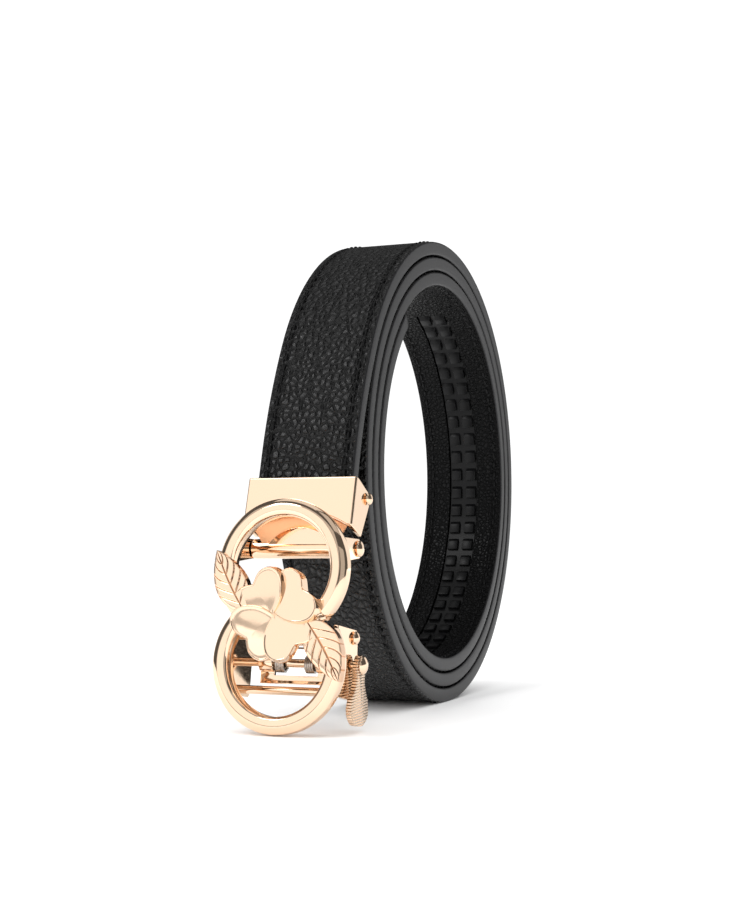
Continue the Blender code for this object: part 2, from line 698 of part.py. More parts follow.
def make_pawl():
    """The ratchet's catch: two arms on the shaft, a plate below them and a tooth along the plate's foot."""
    hub = SHAFT_RADIUS + GAP + PAWL_THICKNESS * 0.8
    half = PAWL_WIDTH / 2
    notch = half - PAWL_ARM
    low = -PAWL_REACH
    points = [
        (-half, low),
        (half, low),
        (half, hub * 0.5),
        (notch, hub * 0.5),
        (notch, -hub * 1.3),
        (-notch, -hub * 1.3),
        (-notch, hub * 0.5),
        (-half, hub * 0.5),
    ]
    thick = PAWL_THICKNESS / 2
    place = FACING_FRONT
    corners = range(len(points))
    pawl = outline("pawl", points, -thick, thick, ROSE_GOLD, RELEASE, place, pointed=corners, resolution=1)
    for word, start in (("left", -half), ("right", notch)):
        arm = rod(f"pawl_hub_{word}", start, start + PAWL_ARM, 0, 0, hub, ROSE_GOLD, RELEASE)
        combine(pawl, arm, "UNION")
    tooth_top = low + PAWL_TOOTH * 1.6
    wedge = [(SINK, tooth_top), (-thick - PAWL_TOOTH, low + SINK / 2), (-thick - PAWL_TOOTH, low), (SINK, low)]
    reach = half - SINK
    blade = outline("pawl_tooth", wedge, -reach, reach, ROSE_GOLD, RELEASE, FACING_SIDE, range(4), 1)
    combine(pawl, blade, "UNION")
    bore = rod("pawl_bore", -2 * half, 2 * half, 0, 0, SHAFT_RADIUS + GAP, ROSE_GOLD, RELEASE)
    combine(pawl, bore, "DIFFERENCE")
    return pawl


def make_shaft():
    lever_outer = WALL_OUTER + LEVER_STANDOFF + LEVER_THICKNESS
    end = lever_outer + GAP
    return headed_pin(
        "pawl_shaft", SHAFT_RADIUS, -WALL_OUTER, end, LEVER_HEAD_RADIUS, LEVER_HEAD_HEIGHT, 0, 0, RELEASE
    )


def make_lever():
    """The side lever: a flat paddle hung on the shaft's end, narrow at its neck and round at its foot."""
    hub = SHAFT_RADIUS + GAP + EYE_WALL
    neck = LEVER_NECK / 2
    wide = LEVER_WIDTH / 2
    foot = LEVER_LENGTH
    points = [
        (0.0, hub),
        (hub, 0.0),
        (neck * 0.95, -foot * 0.28),
        (wide, -foot * 0.74),
        (wide * 0.62, -foot * 0.95),
        (0.0, -foot),
        (-wide * 0.62, -foot * 0.95),
        (-wide, -foot * 0.74),
        (-neck * 0.95, -foot * 0.28),
        (-hub, 0.0),
    ]
    inner = WALL_OUTER + LEVER_STANDOFF
    lever = outline("release_lever", points, inner, inner + LEVER_THICKNESS, ROSE_GOLD, RELEASE, FACING_SIDE)
    far = inner + 2 * LEVER_THICKNESS
    bore = rod("lever_bore", inner - LEVER_THICKNESS, far, 0, 0, SHAFT_RADIUS + GAP, ROSE_GOLD, RELEASE)
    combine(lever, bore, "DIFFERENCE")
    return lever


def spring_points():
    """One wire: a leg, a coil, a loop over the middle, the second coil and its leg, all round the pawl's shaft."""
    radius = SHAFT_RADIUS + GAP + 2 * SPRING_WIRE
    sides = 10
    half = (PAWL_WIDTH / 2 - PAWL_ARM) - GAP - SPRING_WIRE
    leg = radius * 2.2
    points = [(-half, radius, -SHAFT_DROP + leg)]
    for side in (-1, 1):
        count = SPRING_TURNS * sides
        for step in range(count + 1):
            turn = 2 * math.pi * step / sides
            along = SPRING_COIL * step / count
            x = -half + along if side < 0 else half - SPRING_COIL + along
            points.append((x, radius * math.cos(turn), -SHAFT_DROP - radius * math.sin(turn)))
        if side < 0:
            inner = -half + SPRING_COIL
            points += [(inner, radius, -SHAFT_DROP + leg * 0.8), (-inner, radius, -SHAFT_DROP + leg * 0.8)]
    points.append((half, radius, -SHAFT_DROP + leg))
    return points


def make_spring():
    data = bpy.data.curves.new("torsion_spring", "CURVE")
    data.dimensions = "3D"
    data.bevel_depth = SPRING_WIRE
    data.bevel_resolution = 1
    data.use_fill_caps = True
    line = data.splines.new("POLY")
    points = spring_points()
    line.points.add(len(points) - 1)
    for point, place in zip(line.points, points):
        point.co = (*place, 1)
    return piece("torsion_spring", data, SPRING_STEEL, BUCKLE)


ORIGIN = empty("belt_origin")
CLAMP = empty("clamp_frame", ORIGIN, (0, 0, ROD_Z), CLAMP_TILT)
JAW = empty("jaw_axis", CLAMP, (0, JAW_PIN_Y, JAW_PIN_Z))
BUCKLE = empty("buckle_axis", ORIGIN, (0, 0, ROD_Z), FACE_TILT)
RELEASE = empty("release_axis", BUCKLE, (0, 0, -SHAFT_DROP))


def stand_on_origin():
    """Moves the whole belt so that the middle of its underside is at the origin."""
    bpy.context.view_layer.update()
    graph = bpy.context.evaluated_depsgraph_get()
    low = Vector((math.inf,) * 3)
    high = -low
    for made in BELT.objects:
        if made.type == "EMPTY":
            continue
        shown = made.evaluated_get(graph)
        data = shown.to_mesh()
        for vert in data.vertices:
            place = shown.matrix_world @ vert.co
            low = Vector(map(min, low, place))
            high = Vector(map(max, high, place))
        shown.to_mesh_clear()
    ORIGIN.location = (-(low.x + high.x) / 2, -(low.y + high.y) / 2, -low.z)
    bpy.context.view_layer.update()
    for mark in (ORIGIN, CLAMP, JAW, BUCKLE, RELEASE):
        print(mark.name, [round(value, 6) for value in mark.matrix_world.translation])


make_strap()
make_track()
make_clamp()
make_jaw()
make_pins()
make_face()
make_pawl()
make_shaft()
make_lever()
make_spring()
stand_on_origin()
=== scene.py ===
# %% [markdown]
# # A women's ratchet belt in rose gold and black leather
# The belt stands on its edge as a coil, and its cast buckle hangs in front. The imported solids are
# the frame: they say where everything is. This lesson dresses them with smoother pieces and
# finishes.

import math

import bpy
from mathutils import Matrix, Vector


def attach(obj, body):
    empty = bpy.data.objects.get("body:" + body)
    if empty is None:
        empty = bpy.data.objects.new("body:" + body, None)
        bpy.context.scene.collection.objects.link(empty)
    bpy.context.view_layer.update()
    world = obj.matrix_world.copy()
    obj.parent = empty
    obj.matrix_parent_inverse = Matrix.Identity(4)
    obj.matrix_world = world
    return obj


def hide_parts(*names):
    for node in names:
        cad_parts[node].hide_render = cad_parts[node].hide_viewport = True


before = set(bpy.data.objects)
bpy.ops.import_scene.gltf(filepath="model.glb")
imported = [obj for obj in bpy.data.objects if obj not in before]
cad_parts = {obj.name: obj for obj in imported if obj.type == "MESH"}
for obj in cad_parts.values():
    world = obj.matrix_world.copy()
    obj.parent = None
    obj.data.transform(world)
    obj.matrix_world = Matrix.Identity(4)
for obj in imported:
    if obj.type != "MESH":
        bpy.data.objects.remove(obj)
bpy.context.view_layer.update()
bpy.ops.object.select_all(action="DESELECT")

# %% [markdown]
# The belt was measured once, for the solids. The same few numbers place the dressed pieces: how
# the strap is wound, where the hinge is, and how far the clamp and the face lean. Everything is
# in metres.

# %% Sizes
STRAP_WIDTH = 0.024
STRAP_THICKNESS = 0.0036
PITCH = STRAP_THICKNESS + 0.00045
COIL_RADIUS = 0.063992
FLARE = 0.0040
FLARE_ANGLE = math.radians(28)
HINGE = Vector((-0.000675, -0.05674, 0.041024))
COIL_Y = HINGE.y + 0.069592
COIL_Z = 0.060954
CLAMP_TILT = math.radians(16)
FACE_TILT = math.radians(7)
STRAP_FACE = -0.0039
CLAMP_LENGTH = 0.0158
CLAMP_GRIP = 0.0072
CHANNEL_WIDTH = 0.0088
CHANNEL_DEPTH = 0.0015


def tilted(tilt):
    """Places a shape drawn round the hinge, -Y forward and +Z up, with its foot swung forward."""
    return Matrix.Translation(HINGE) @ Matrix.Rotation(-tilt, 4, "X")


CLAMP_PLACE = tilted(CLAMP_TILT)
FACE_PLACE = tilted(FACE_TILT)
print("hinge at", tuple(round(value, 4) for value in HINGE))

# %% [markdown]
# The camera comes first. A long lens stands a little to the right of the belt and low, about level
# with the hinge, and looks slightly up.

# %% Camera
STAND = Vector((0.140926 + HINGE.x, -0.384398 + COIL_Y, 0.041345))
LOOK = Vector((-0.3636, 0.9293, 0.0619))
FOCAL_PIXELS = 1490.37
FRAME_HEIGHT_PIXELS = 910
SENSOR_MM = 36
camera_data = bpy.data.cameras.new("camera")
camera = bpy.data.objects.new("camera", camera_data)
bpy.context.scene.collection.objects.link(camera)
bpy.context.scene.camera = camera
camera.location = STAND
camera.rotation_mode = "QUATERNION"
camera.rotation_quaternion = LOOK.to_track_quat("-Z", "Y")
camera_data.sensor_fit = "VERTICAL"
camera_data.sensor_height = SENSOR_MM
camera_data.sensor_width = SENSOR_MM
camera_data.lens = SENSOR_MM * FOCAL_PIXELS / FRAME_HEIGHT_PIXELS
camera_data.clip_start = 0.01
print("camera stands at", tuple(round(value, 3) for value in STAND))

# %% [markdown]
# A mirror-polished casting shows its surroundings more than itself. So the light is a set of
# large soft panels with darker gaps between them, like a photographer's light tent: the panels
# give the pale fields on the metal, and the gaps give its dark lines. The world lights everything
# evenly from all round, but it is nearly black in reflections, and that makes the gaps.

# %% Lights and world
BELT_MIDDLE = Vector((0, 0, 0.06))
TENT_WALLS = 1.1
TENT_GAPS = 0.10
PANELS = {  # place, width, height, power in watts
    "front_panel": ((-0.36, -0.85, 0.44), 0.80, 0.80, 1.30),
    "front_fill": ((-0.42, -0.98, 0.50), 2.0, 1.5, 4.4),
    "right_fill": ((0.66, -0.80, 0.22), 0.5, 0.7, 0.45),
    "high_panel": ((-0.40, -0.56, 0.74), 0.34, 0.26, 1.35),
    "right_high_panel": ((0.40, -0.30, 0.86), 0.45, 0.45, 0.32),
    "top_panel": ((-0.10, 0.05, 0.95), 0.7, 0.7, 1.1),
    "left_panel": ((-0.85, 0.35, 0.25), 0.35, 0.6, 0.50),
    "back_panel": ((0.44, 0.86, 0.30), 0.5, 0.6, 0.90),
}


def panel(name, place, width, height, power):
    light = bpy.data.lights.new(name, "AREA")
    light.shape = "RECTANGLE"
    light.size = width
    light.size_y = height
    light.energy = power
    made = bpy.data.objects.new(name, light)
    bpy.context.scene.collection.objects.link(made)
    made.location = place
    made.rotation_mode = "QUATERNION"
    made.rotation_quaternion = (BELT_MIDDLE - Vector(place)).to_track_quat("-Z", "Y")


for name, (place, width, height, power) in PANELS.items():
    panel(name, place, width, height, power)

world = bpy.data.worlds.new("studio")
bpy.context.scene.world = world
world.use_nodes = True
sky = world.node_tree
backdrop = sky.nodes["Background"]
backdrop.inputs["Color"].default_value = (1, 1, 1, 1)
ray_kind = sky.nodes.new("ShaderNodeLightPath")
brightness = sky.nodes.new("ShaderNodeMapRange")
brightness.inputs["To Min"].default_value = TENT_WALLS
brightness.inputs["To Max"].default_value = TENT_GAPS
sky.links.new(ray_kind.outputs["Is Glossy Ray"], brightness.inputs["Value"])
sky.links.new(brightness.outputs["Result"], backdrop.inputs["Strength"])
bpy.context.scene.view_settings.view_transform = "Standard"
print("panels:", len(PANELS))

# %% [markdown]
# The floor is a plain pale sheet. It could be bent up behind the belt as a photographer hangs
# paper, but a wide round one does the same here: it is as white as the world's light above it, so
# that no horizon line shows.

# %% Floor
bpy.ops.mesh.primitive_circle_add(vertices=96, radius=30, fill_type="NGON", location=(0, 0, 0))
floor = bpy.context.object
floor.name = "floor"
print("floor faces:", len(floor.data.polygons))

# %% [markdown]
# Every finish is a small network on the Principled shader. A few helpers keep the cells below
# short: they make the material, add a node with its values, and give a fine grain as a bump. Each
# cell can then show only what makes its finish special.


# %% Helper for finishes
def finish(name, colour, roughness, metallic=0.0, specular=0.5):
    made = bpy.data.materials.new(name)
    made.use_nodes = True
    shader = made.node_tree.nodes["Principled BSDF"]
    shader.inputs["Base Color"].default_value = (*colour, 1)
    shader.inputs["Roughness"].default_value = roughness
    shader.inputs["Metallic"].default_value = metallic
    shader.inputs["Specular IOR Level"].default_value = specular
    return made


def network(made):
    """A finish's nodes, its links and its shader."""
    tree = made.node_tree
    return tree.nodes, tree.links, tree.nodes["Principled BSDF"]


def add_node(nodes, kind, **values):
    """Adds a node, and sets its sockets and options by name."""
    made = nodes.new(kind)
    for key, value in values.items():
        if key in made.inputs:
            made.inputs[key].default_value = value
        else:
            setattr(made, key, value)
    return made


def fine_grain(made, scale, detail, strength, distance):
    """Gives a finish a small noise on Object coordinates, as a bump."""
    nodes, links, shader = network(made)
    where = nodes.new("ShaderNodeTexCoord")
    noise = add_node(nodes, "ShaderNodeTexNoise", Scale=scale, Detail=detail)
    bump = add_node(nodes, "ShaderNodeBump", Strength=strength, Distance=distance)
    links.new(where.outputs["Object"], noise.inputs["Vector"])
    links.new(noise.outputs["Fac"], bump.inputs["Height"])
    links.new(bump.outputs["Normal"], shader.inputs["Normal"])


print("helpers for finishes are ready")

# %% [markdown]
# Floor paper is near white and quite matt. A glossy floor would mirror the tent's darker gaps
# near the horizon and draw a grey band there.

# %% Paper finish
paper = finish("pale_paper", (0.94, 0.94, 0.94), 1.0, specular=0.0)
fine_grain(paper, scale=900.0, detail=3.0, strength=0.03, distance=0.0002)
floor.data.materials.append(paper)
print("finish:", paper.name)

# %% [markdown]
# Rose gold plating on a polished casting is a mirror with a warm tint. Real plating is never
# quite even: its gloss varies softly over a few millimetres, and fine polishing marks catch the
# light. Two noises on Object coordinates vary the roughness and give a very weak bump.


# %% Rose gold finish
def plating(name, colour, low_gloss, high_gloss, ripple=0.05):
    made = finish(name, colour, low_gloss, metallic=1.0)
    nodes, links, shader = network(made)
    where = nodes.new("ShaderNodeTexCoord")
    cloud = add_node(nodes, "ShaderNodeTexNoise", Scale=160.0, Detail=2.0)
    gloss = nodes.new("ShaderNodeMapRange")
    gloss.inputs["To Min"].default_value = low_gloss
    gloss.inputs["To Max"].default_value = high_gloss
    links.new(where.outputs["Object"], cloud.inputs["Vector"])
    links.new(cloud.outputs["Fac"], gloss.inputs["Value"])
    links.new(gloss.outputs["Result"], shader.inputs["Roughness"])
    fine_grain(made, scale=420.0, detail=1.0, strength=ripple, distance=0.0001)
    return made


GOLD = (0.95, 0.705, 0.51)
rose_gold = plating("rose_gold_mirror", GOLD, 0.04, 0.11)
print("finish:", rose_gold.name)

# %% [markdown]
# The leaves' veins are engraved. Their grooves mirror metal in metal, and that reflection is
# painted into their colour as a deeper copper. The leaf meshes carry a number called engraved, from
# 0 to 1, and the finish follows it.
# The lever has fine ridges across it instead, made with a wave bump in Object coordinates.

# %% Engraved and ridged finishes
GROOVE_REFLECTION_COPPER = (0.58, 0.27, 0.13)
RIDGE_PITCH = 0.00062
WAVE_SCALE = math.pi / 10 / RIDGE_PITCH  # at Scale 1, a Wave band is pi / 10 long

engraved_gold = plating("engraved_gold", GOLD, 0.05, 0.13)
nodes, links, shader = network(engraved_gold)
engraving = add_node(nodes, "ShaderNodeAttribute", attribute_name="engraved")
# This ramp paints a reflection into the grooves: the deeper copper stands for metal mirrored in
# metal.
painted_groove_reflection = nodes.new("ShaderNodeValToRGB")
polished, cut = painted_groove_reflection.color_ramp.elements
polished.color, polished.position = (*GOLD, 1), 0.12
cut.color, cut.position = (*GROOVE_REFLECTION_COPPER, 1), 0.75
links.new(engraving.outputs["Fac"], painted_groove_reflection.inputs["Fac"])
links.new(painted_groove_reflection.outputs["Color"], shader.inputs["Base Color"])

ridged_gold = plating("ridged_gold", GOLD, 0.16, 0.26)
nodes, links, shader = network(ridged_gold)
where = nodes.new("ShaderNodeTexCoord")
ridges = add_node(nodes, "ShaderNodeTexWave", bands_direction="Z", Scale=WAVE_SCALE)
ridge_bump = add_node(nodes, "ShaderNodeBump", Strength=0.9, Distance=0.00022)
links.new(where.outputs["Object"], ridges.inputs["Vector"])
links.new(ridges.outputs["Fac"], ridge_bump.inputs["Height"])
links.new(ridge_bump.outputs["Normal"], shader.inputs["Normal"])
print("finishes:", engraved_gold.name, ridged_gold.name)

# %% [markdown]
# The spring is plain drawn wire, greyer and duller than the plating round it. Drawing leaves very
# fine marks on it, too small to follow one by one. A small noise used as a bump gives them
# without any picture.

# %% Spring steel finish
spring_steel = finish("drawn_wire", (0.50, 0.46, 0.42), 0.28, metallic=1.0)
fine_grain(spring_steel, scale=2500.0, detail=2.0, strength=0.2, distance=0.00005)
print("finish:", spring_steel.name)

# %% [markdown]
# The leather is full-grain cowhide with a pebbled surface: rounded cells one to two millimetres
# across with narrow valleys between them, and finer creases on top. The strap carries its own UV
# map in metres, measured along and across it before it is wound, so the pebbles keep one size
# round the whole coil. Smooth Voronoi cells make the pebbles, and noise bends their outlines. A
# shallow groove runs under each row of stitches, where the thread pulls the leather down.

# %% Leather finish
STITCH_INSET = 0.0022
STITCH_ROW = STRAP_WIDTH / 2 - STITCH_INSET
GROOVE_HALF = 0.0009


def pebbled_leather(name, colour, cell, depth, specular):
    made = finish(name, colour, 0.5, specular=specular)
    nodes, links, shader = network(made)

    def fed(kind, feeds, **values):
        """Adds a node and links the sources given for its sockets."""
        node = add_node(nodes, kind, **values)
        for socket, source in feeds.items():
            links.new(source, node.inputs[socket])
        return node

    def multiply_add(source, factor, addend):
        node = fed("ShaderNodeMath", {0: source, 2: addend}, operation="MULTIPLY_ADD")
        node.inputs[1].default_value = factor
        return node.outputs["Value"]

    def from_zero(source, high):
        """Rises smoothly from 0 to 1 while the source goes from 0 to high."""
        node = fed("ShaderNodeMapRange", {"Value": source}, interpolation_type="SMOOTHSTEP")
        node.inputs["From Max"].default_value = high
        return node.outputs["Result"]

    # pebbles: rounded cells with narrow valleys, bent by a noise, and fine creases on them
    flat = add_node(nodes, "ShaderNodeUVMap", uv_map="flat").outputs["UV"]
    wobble = fed("ShaderNodeTexNoise", {"Vector": flat}, Scale=0.45 / cell, Detail=2.0)
    bend = fed(
        "ShaderNodeVectorMath", {0: wobble.outputs["Color"], 2: flat}, operation="MULTIPLY_ADD"
    )
    bend.inputs[1].default_value = (cell * 0.9,) * 3
    bent = {"Vector": bend.outputs["Vector"]}
    domes = fed("ShaderNodeTexVoronoi", bent, feature="SMOOTH_F1", Scale=1 / cell, Smoothness=0.35)
    valleys = fed("ShaderNodeTexVoronoi", bent, feature="DISTANCE_TO_EDGE", Scale=1 / cell)
    creases = fed("ShaderNodeTexNoise", {"Vector": flat}, Scale=4.5 / cell, Detail=4.0)
    narrow = from_zero(valleys.outputs["Distance"], 0.22)
    pebbles = multiply_add(domes.outputs["Distance"], -0.55, narrow)
    creased = multiply_add(creases.outputs["Fac"], 0.20, pebbles)

    # the stitch rows press a groove on both sides of the strap's middle
    across = fed("ShaderNodeSeparateXYZ", {"Vector": flat}).outputs["Y"]
    off_middle = fed("ShaderNodeMath", {0: across}, operation="ABSOLUTE").outputs["Value"]
    off_row = fed("ShaderNodeMath", {0: off_middle}, operation="SUBTRACT")
    off_row.inputs[1].default_value = STITCH_ROW
    beside = fed("ShaderNodeMath", {0: off_row.outputs["Value"]}, operation="ABSOLUTE")
    groove = from_zero(beside.outputs["Value"], GROOVE_HALF)
    height = multiply_add(groove, 1.3, creased)
    relief = fed("ShaderNodeBump", {"Height": height}, Strength=1.0, Distance=depth)
    links.new(relief.outputs["Normal"], shader.inputs["Normal"])

    # the pebbles' tops are rubbed shinier than the valleys, and their colour carries a painted
    # highlight on the tops and a painted shade in the valleys
    shine = fed("ShaderNodeMapRange", {"Value": creased})
    shine.inputs["To Min"].default_value = 0.60
    shine.inputs["To Max"].default_value = 0.22
    links.new(shine.outputs["Result"], shader.inputs["Roughness"])
    painted_pebble_light_and_shade = fed("ShaderNodeValToRGB", {"Fac": creased})
    for stop, share in zip(painted_pebble_light_and_shade.color_ramp.elements, (0.5, 1.5)):
        stop.color = (*[value * share for value in colour], 1)
    links.new(painted_pebble_light_and_shade.outputs["Color"], shader.inputs["Base Color"])
    return made


top_leather = pebbled_leather(
    "pebbled_leather", (0.0032, 0.0032, 0.0034), cell=0.00165, depth=0.00060, specular=0.46
)
# The lining's colour is a little darker than the top's: a painted shade for the coil's inner side.
lining_leather = pebbled_leather(
    "lining_leather", (0.0025, 0.0025, 0.0027), cell=0.0011, depth=0.00020, specular=0.13
)
print("finishes:", top_leather.name, lining_leather.name)

# %% [markdown]
# A belt's cut edge is sanded and painted with several coats of edge paint. It dries to a satin
# dark grey that looks lighter than the leather, and a little uneven. The edge has no pattern of
# its own, so a fine grain on Object coordinates is enough.

# %% Edge paint finish
edge_paint = finish("edge_paint", (0.012, 0.012, 0.013), 0.42, specular=0.3)
fine_grain(edge_paint, scale=1400.0, detail=3.0, strength=0.25, distance=0.00008)
print("finish:", edge_paint.name)

# %% [markdown]
# Thread and nylon are both black, but not alike: thread is dull and fibrous, and the moulded
# track has a smoother, slightly shiny skin.

# %% Thread and nylon finishes
thread = finish("black_thread", (0.003, 0.003, 0.0032), 0.5, specular=0.2)
fine_grain(thread, scale=5200.0, detail=1.0, strength=0.5, distance=0.00008)
nylon = finish("moulded_nylon", (0.003, 0.003, 0.0033), 0.34, specular=0.2)
fine_grain(nylon, scale=2600.0, detail=3.0, strength=0.3, distance=0.00005)
print("finishes:", thread.name, nylon.name)

# %% [markdown]
# The strap is easiest to make the way a belt maker does: flat on the table, then rolled up. The
# roll is a curve that starts in the clamp, leaves the coil's outermost turn with a slight flare,
# and winds inwards by one strap thickness and a hair's gap a turn. It is drawn flat in X and Y,
# where a Curve modifier behaves most predictably, and the finished piece is stood up afterwards.

# %% The roll that the strap follows
CLAMP_POINTS = 4
COIL_START = CLAMP_POINTS + 1
ROLL_STEP = math.radians(1.5)
ROLL_STEPS = 816  # 3.4 turns, a little more than the strap needs


def coil_point(angle):
    """The strap's outer face once the coil has turned this far, in the world's Y and Z."""
    rest = max(0.0, 1 - angle / FLARE_ANGLE)
    radius = COIL_RADIUS - PITCH * angle / (2 * math.pi) + FLARE * rest**2
    return COIL_Y - radius * math.cos(angle), COIL_Z + radius * math.sin(angle)


def roll_points():
    """Points up through the clamp, one between the clamp and the coil, then the coil's."""
    points = []
    for step in range(CLAMP_POINTS):
        height = CLAMP_LENGTH - CLAMP_GRIP * (1 - step / (CLAMP_POINTS - 1))
        place = CLAMP_PLACE @ Vector((0, STRAP_FACE, height))
        points.append((place.y, place.z))
    mouth = points[-1]
    first = coil_point(0.0)
    points.append(((mouth[0] + first[0]) / 2, (mouth[1] + first[1]) / 2))
    return points + [coil_point(ROLL_STEP * step) for step in range(ROLL_STEPS)]


ROLL = roll_points()
roll_data = bpy.data.curves.new("roll", "CURVE")
roll_data.dimensions = "2D"
roll_line = roll_data.splines.new("POLY")
roll_line.points.add(len(ROLL) - 1)
for point, (y, z) in zip(roll_line.points, ROLL):
    point.co = (y, z, 0, 1)
roll = bpy.data.objects.new("roll", roll_data)
bpy.context.scene.collection.objects.link(roll)


def length_to(turns, degrees):
    """How much of the roll has passed when the coil has turned this far."""
    angle = math.radians(turns * 360 + degrees)
    total = 0.0
    for index in range(1, len(ROLL)):
        if index >= COIL_START and ROLL_STEP * (index - COIL_START) > angle:
            break
        total += math.dist(ROLL[index - 1], ROLL[index])
    return total


STRAP_END = length_to(3, 57.3)
TRACK_START = length_to(2, 112.7)
TRACK_END = length_to(3, 35.6)
print("strap", round(STRAP_END, 3), "track from", round(TRACK_START, 3), "to", round(TRACK_END, 3))

# %% [markdown]
# A Curve modifier bends a mesh along its X axis. The strap lies with its width along Z and its
# thickness along Y. Once bent, the mesh is turned so that the width runs along the world's X. Two
# more helpers stand here, since the flat strap and its rows need them first: one rounds edges
# with a Bevel modifier, and one repeats a piece with an Array modifier.

# %% Winding
STAND_UP = Matrix(((0, 0, 1, HINGE.x), (1, 0, 0, 0), (0, 1, 0, 0), (0, 0, 0, 1)))


def only(made):
    """Makes this the one selected and active object."""
    bpy.ops.object.select_all(action="DESELECT")
    made.select_set(True)
    bpy.context.view_layer.objects.active = made


def wind(made):
    only(made)
    follow = made.modifiers.new("roll_up", "CURVE")
    follow.object = roll
    follow.deform_axis = "POS_X"
    bpy.ops.object.modifier_apply(modifier="roll_up")
    made.data.transform(STAND_UP)


def round_edges(made, width, segments=2, angle=50):
    """Bevels the edges that turn by more than this many degrees."""
    only(made)
    rounding = made.modifiers.new("soft", "BEVEL")
    rounding.width = width
    rounding.segments = segments
    rounding.limit_method = "ANGLE"
    rounding.angle_limit = math.radians(angle)
    bpy.ops.object.modifier_apply(modifier="soft")


def repeat_along(made, pitch, length):
    """Repeats a piece along the flat strap, as often as it fits into a length."""
    only(made)
    repeat = made.modifiers.new("repeat", "ARRAY")
    repeat.use_relative_offset = False
    repeat.use_constant_offset = True
    repeat.constant_offset_displace = (pitch, 0, 0)
    repeat.count = int(length / pitch)
    bpy.ops.object.modifier_apply(modifier="repeat")


print("the roll has", len(ROLL), "points")

# %% [markdown]
# The flat strap starts as a long grid, a little under two millimetres a cell, so that the bend
# comes out round. Its seven lengthwise lines are moved to where the channel's sides will be. The
# tip's corners are rounded by drawing the last rows in. Solidify gives the leather its thickness,
# and a bevel with three steps rounds the sanded edges.

# %% The strap, flat
CELL_LENGTH = 0.0018
CELLS_ACROSS = 6
CHANNEL_SHARE = CHANNEL_WIDTH / STRAP_WIDTH
LINES_ACROSS = [-1, -0.70, -CHANNEL_SHARE, 0, CHANNEL_SHARE, 0.70, 1]
TIP_CORNER = 0.008
cells_along = int(STRAP_END / CELL_LENGTH)
bpy.ops.mesh.primitive_grid_add(x_subdivisions=cells_along, y_subdivisions=CELLS_ACROSS, size=1)
strap = bpy.context.object
strap.name = "strap_leather"
for vert in strap.data.vertices:
    line = round((vert.co.y + 0.5) * CELLS_ACROSS)
    x = (vert.co.x + 0.5) * STRAP_END
    short = max(0.0, x - (STRAP_END - TIP_CORNER))
    half = STRAP_WIDTH / 2 - (TIP_CORNER - math.sqrt(max(0.0, TIP_CORNER**2 - short**2)))
    vert.co = (x, 0, half * LINES_ACROSS[line])
only(strap)
leather_wall = strap.modifiers.new("thickness", "SOLIDIFY")
leather_wall.thickness = STRAP_THICKNESS
leather_wall.offset = 1
bpy.ops.object.modifier_apply(modifier="thickness")
ys = [vert.co.y for vert in strap.data.vertices]
strap.data.transform(Matrix.Translation((0, -max(ys), 0)))
round_edges(strap, 0.0009, segments=3)
print("flat strap faces", len(strap.data.polygons), "thickness", round(max(ys) - min(ys), 4))

# %% [markdown]
# The channel for the ratchet track is pressed into the lining side: its faces are picked by place
# and normal, and pushed in together.

# %% The channel
CHANNEL_SPARE = 0.0004


def in_channel(face):
    """Whether a face of the lining lies where the track will go."""
    middle = face.center
    lining = middle.y < -STRAP_THICKNESS + 0.0002 and abs(face.normal.y) > 0.9
    along = TRACK_START - CHANNEL_SPARE < middle.x < TRACK_END + CHANNEL_SPARE
    return lining and along and abs(middle.z) < CHANNEL_WIDTH / 2


only(strap)
bpy.ops.object.mode_set(mode="EDIT")
bpy.ops.mesh.select_all(action="DESELECT")
bpy.ops.mesh.select_mode(type="FACE")
bpy.ops.object.mode_set(mode="OBJECT")
for face in strap.data.polygons:
    face.select = in_channel(face)
picked = sum(face.select for face in strap.data.polygons)
bpy.ops.object.mode_set(mode="EDIT")
bpy.ops.mesh.extrude_region_move(TRANSFORM_OT_translate={"value": (0, CHANNEL_DEPTH, 0)})
bpy.ops.mesh.normals_make_consistent(inside=False)
bpy.ops.object.mode_set(mode="OBJECT")
print("channel faces", picked)

# %% [markdown]
# While the strap is still flat, each face gets its finish by where it is: pebbled leather on top,
# lining below, edge paint round the sides. The flat UV map is also written now, in metres.

# %% Strap finishes and flat map
TOP, LINING, EDGE = range(3)
EDGE_BAND = 0.0008
for made in (top_leather, lining_leather, edge_paint):
    strap.data.materials.append(made)
flat_map = strap.data.uv_layers.new(name="flat")
for face in strap.data.polygons:
    at_side = abs(face.center.z) > STRAP_WIDTH / 2 - EDGE_BAND
    at_tip = face.center.x > STRAP_END - TIP_CORNER
    if abs(face.normal.y) < 0.8 and (at_side or at_tip):
        face.material_index = EDGE
    else:
        face.material_index = TOP if face.normal.y > 0 else LINING
    for loop in face.loop_indices:
        place = strap.data.vertices[strap.data.loops[loop].vertex_index].co
        flat_map.data[loop].uv = (place.x, place.z)
wind(strap)
bpy.ops.object.shade_smooth_by_angle(angle=math.radians(45))
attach(strap, "belt")
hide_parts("strap")
print("strap spans", [round(value, 4) for value in strap.dimensions])

# %% [markdown]
# One stitch is a short pill of thread, sunk half its thickness into the leather. It is modelled
# once with few faces, repeated along the strap by an Array modifier, and wound with the same
# roll.

# %% Stitches
STITCH_PITCH = 0.0031
STITCH_SIZE = (0.0024, 0.00060, 0.00066)
STITCH_RISE = 0.00002
ROW_START = 0.002
ROW_END = STRAP_END - 0.005


def stitch_row(name, height, across):
    bpy.ops.mesh.primitive_uv_sphere_add(segments=8, ring_count=5, radius=0.5)
    made = bpy.context.object
    made.name = name
    made.data.transform(Matrix.Diagonal((*STITCH_SIZE, 1)))
    made.data.transform(Matrix.Translation((ROW_START, height, across)))
    repeat_along(made, STITCH_PITCH, ROW_END - ROW_START)
    wind(made)
    bpy.ops.object.shade_smooth()
    made.data.materials.append(thread)
    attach(made, "belt")
    return made


